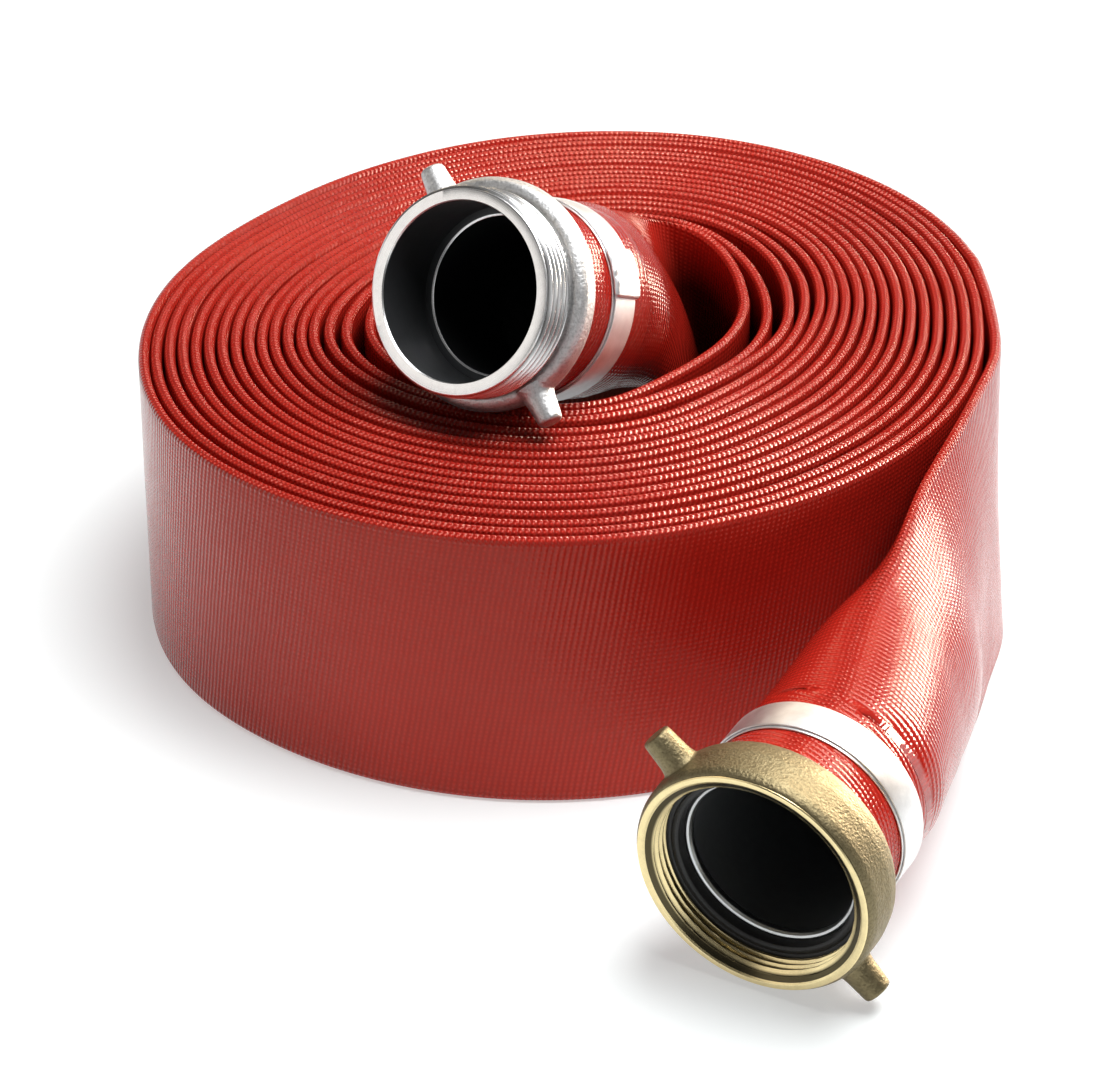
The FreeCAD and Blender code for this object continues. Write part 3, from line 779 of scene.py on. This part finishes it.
# ---------------------------------------------------------------- clamps
def clamp(tag, axes, at, start, roll, node_band, node_buckle):
    """two wraps of strap, the upper one lying a shade back from the lower one's front edge,
    and a folded, hammered buckle over the ends"""
    w = 15.9
    prof = rounded([(start, 42.75), (start + w, 42.75), (start + w, 43.5), (start, 43.5)], 0.28, 3)
    low = rounded([(start - 1.15, 41.95), (start + w - 1.0, 41.95), (start + w - 1.0, 42.62), (start - 1.15, 42.62)], 0.25, 3)
    top_band = lathe(tag + "_clamp_strap", axes, at, prof, [BAND], auto=40)
    under = lathe(tag + "_clamp_under_strap", axes, at, low, [BAND], auto=40)
    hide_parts(node_band)
    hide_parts(node_band)
    half = math.radians(14.0)
    nu = 61
    t = np.linspace(-1, 1, nu)
    r = np.random.default_rng(11)
    d0, d1 = start - 1.5, start + w + 1.6
    mid, hw = (d0 + d1) / 2, (d1 - d0) / 2
    loops = []
    for q in t:
        a = math.radians(roll) + q * half
        crimp = 0.55 * math.exp(-((q - 0.42) / 0.13) ** 2) + 0.45 * math.exp(-((q + 0.05) / 0.10) ** 2) - 0.55 * math.exp(-((q - 0.18) / 0.09) ** 2)
        crimp -= 0.4 * math.exp(-((q + 0.45) / 0.16) ** 2)
        edge = min(1.0, (1 - abs(q)) / 0.10)
        rise = 2.0 * (0.55 + 0.45 * edge ** 0.5) + 0.55 * crimp
        wide = hw * (1.0 - 0.05 * max(0.0, abs(q) - 0.5) * 2 + 0.02 * math.sin(9 * q + 1.0)) - (0.6 if edge < 1 else 0)
        base = 43.56
        shape = []
        for f, h in ((-1.0, 0.0), (-1.03, 0.25), (-1.0, 0.62), (-0.93, 0.90), (-0.82, 1.0), (-0.55, 1.0 - 0.06), (-0.25, 0.97), (0.0, 1.0),
                     (0.3, 0.95), (0.6, 0.99), (0.84, 1.0), (0.94, 0.88), (1.0, 0.6), (1.03, 0.25), (1.0, 0.0), (0.5, -0.02), (-0.5, -0.02)):
            skew = 0.25 * math.sin(3.0 * q + 2.0 * f)
            shape.append((mid + f * wide + 0.12 * skew, base + max(0.0, h) * (rise + 0.16 * skew) + (0.0 if h > 0 else h)))
        loops.append([at + axes[0] * s_ + (axes[1] * math.cos(a) + axes[2] * math.sin(a)) * r_ for s_, r_ in shape])
    L = np.array(loops)
    m = L.shape[1]
    V_ = L.reshape(-1, 3)
    ix = np.arange(nu * m).reshape(nu, m)
    F = []
    for i in range(nu - 1):
        for j in range(m):
            k = (j + 1) % m
            F.append([int(ix[i, j]), int(ix[i + 1, j]), int(ix[i + 1, k]), int(ix[i, k])])
    F.append([int(v) for v in ix[0]])
    F.append([int(v) for v in ix[-1][::-1]])
    b = new_mesh(tag + "_clamp_buckle", V_, F, [BAND])
    fix_normals(b)
    sharpen(b, 38)
    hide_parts(node_buckle)


clamp("male", MALE, MALE_AT, 53.6, 150.0, "male_clamp_band", "male_clamp_buckle")
clamp("female", FEM, FEM_AT, 45.4, 250.0, "female_clamp_band", "female_clamp_buckle")

# ---------------------------------------------------------------- setting
floor_me = bpy.data.meshes.new("floor")
floor_me.from_pydata([(-4, -4, 0), (4, -4, 0), (4, 4, 0), (-4, 4, 0)], [], [(0, 1, 2, 3)])
floor = bpy.data.objects.new("floor", floor_me)
scene.collection.objects.link(floor)
fl = Nodes("white_paper")
fl.bsdf.inputs["Base Color"].default_value = (0.60, 0.63, 0.63, 1)
fl.bsdf.inputs["Roughness"].default_value = 0.9
fl.bsdf.inputs["Specular IOR Level"].default_value = 0.0
fl.bsdf.inputs["Emission Color"].default_value = (1, 1, 1, 1)
fl.bsdf.inputs["Emission Strength"].default_value = 0.45
floor_me.materials.append(fl.mat)

world = bpy.data.worlds.new("white_room")
scene.world = world
world.use_nodes = True
wt = world.node_tree
wt.nodes.clear()
wo = wt.nodes.new("ShaderNodeOutputWorld")
wb = wt.nodes.new("ShaderNodeBackground")
wt.links.new(wb.outputs[0], wo.inputs["Surface"])
wb.inputs["Strength"].default_value = 0.09
wb.inputs["Color"].default_value = (1, 1, 1, 1)


def softbox(name, at, aim, size, power, only_gloss=False, tint=(1, 1, 1)):
    d = bpy.data.lights.new(name, "AREA")
    d.shape = "RECTANGLE"
    d.size, d.size_y = size
    d.energy = power
    d.color = tint
    o = bpy.data.objects.new(name, d)
    scene.collection.objects.link(o)
    o.location = Vector(at)
    o.rotation_mode = "QUATERNION"
    o.rotation_quaternion = (Vector(aim) - Vector(at)).to_track_quat("-Z", "Y")
    o.visible_camera = False
    o.visible_diffuse = not only_gloss
    return o


WARM = (1.0, 0.86, 0.72)
softbox("overhead", (0.50, 0.05, 1.95), (0.0, 0.0, 0.05), (1.5, 1.3), 68)
softbox("window_low", (1.17, 0.90, 0.22), (0.15, -0.10, 0.10), (0.42, 0.36), 21, True, WARM)
softbox("window_high", (1.17, 0.90, 0.82), (0.15, -0.10, 0.10), (0.42, 0.46), 27, True, WARM)
softbox("window_side", (1.30, 0.70, 0.52), (0.15, -0.10, 0.10), (0.10, 0.95), 12, True, WARM)
softbox("left_card", (-1.45, -0.60, 0.56), (-0.05, -0.01, 0.18), (1.3, 1.0), 4.2, True, (1.0, 0.95, 0.90))
softbox("front_card", (0.1, -1.65, 1.10), (0.0, 0.0, 0.15), (1.0, 0.8), 1.9, True)
softbox("back_card", (-0.2, 2.2, 1.35), (0.0, 0.0, 0.12), (2.4, 0.4), 14, True, (1.0, 0.80, 0.56))

scene.view_settings.view_transform = "Standard"
scene.view_settings.look = "None"
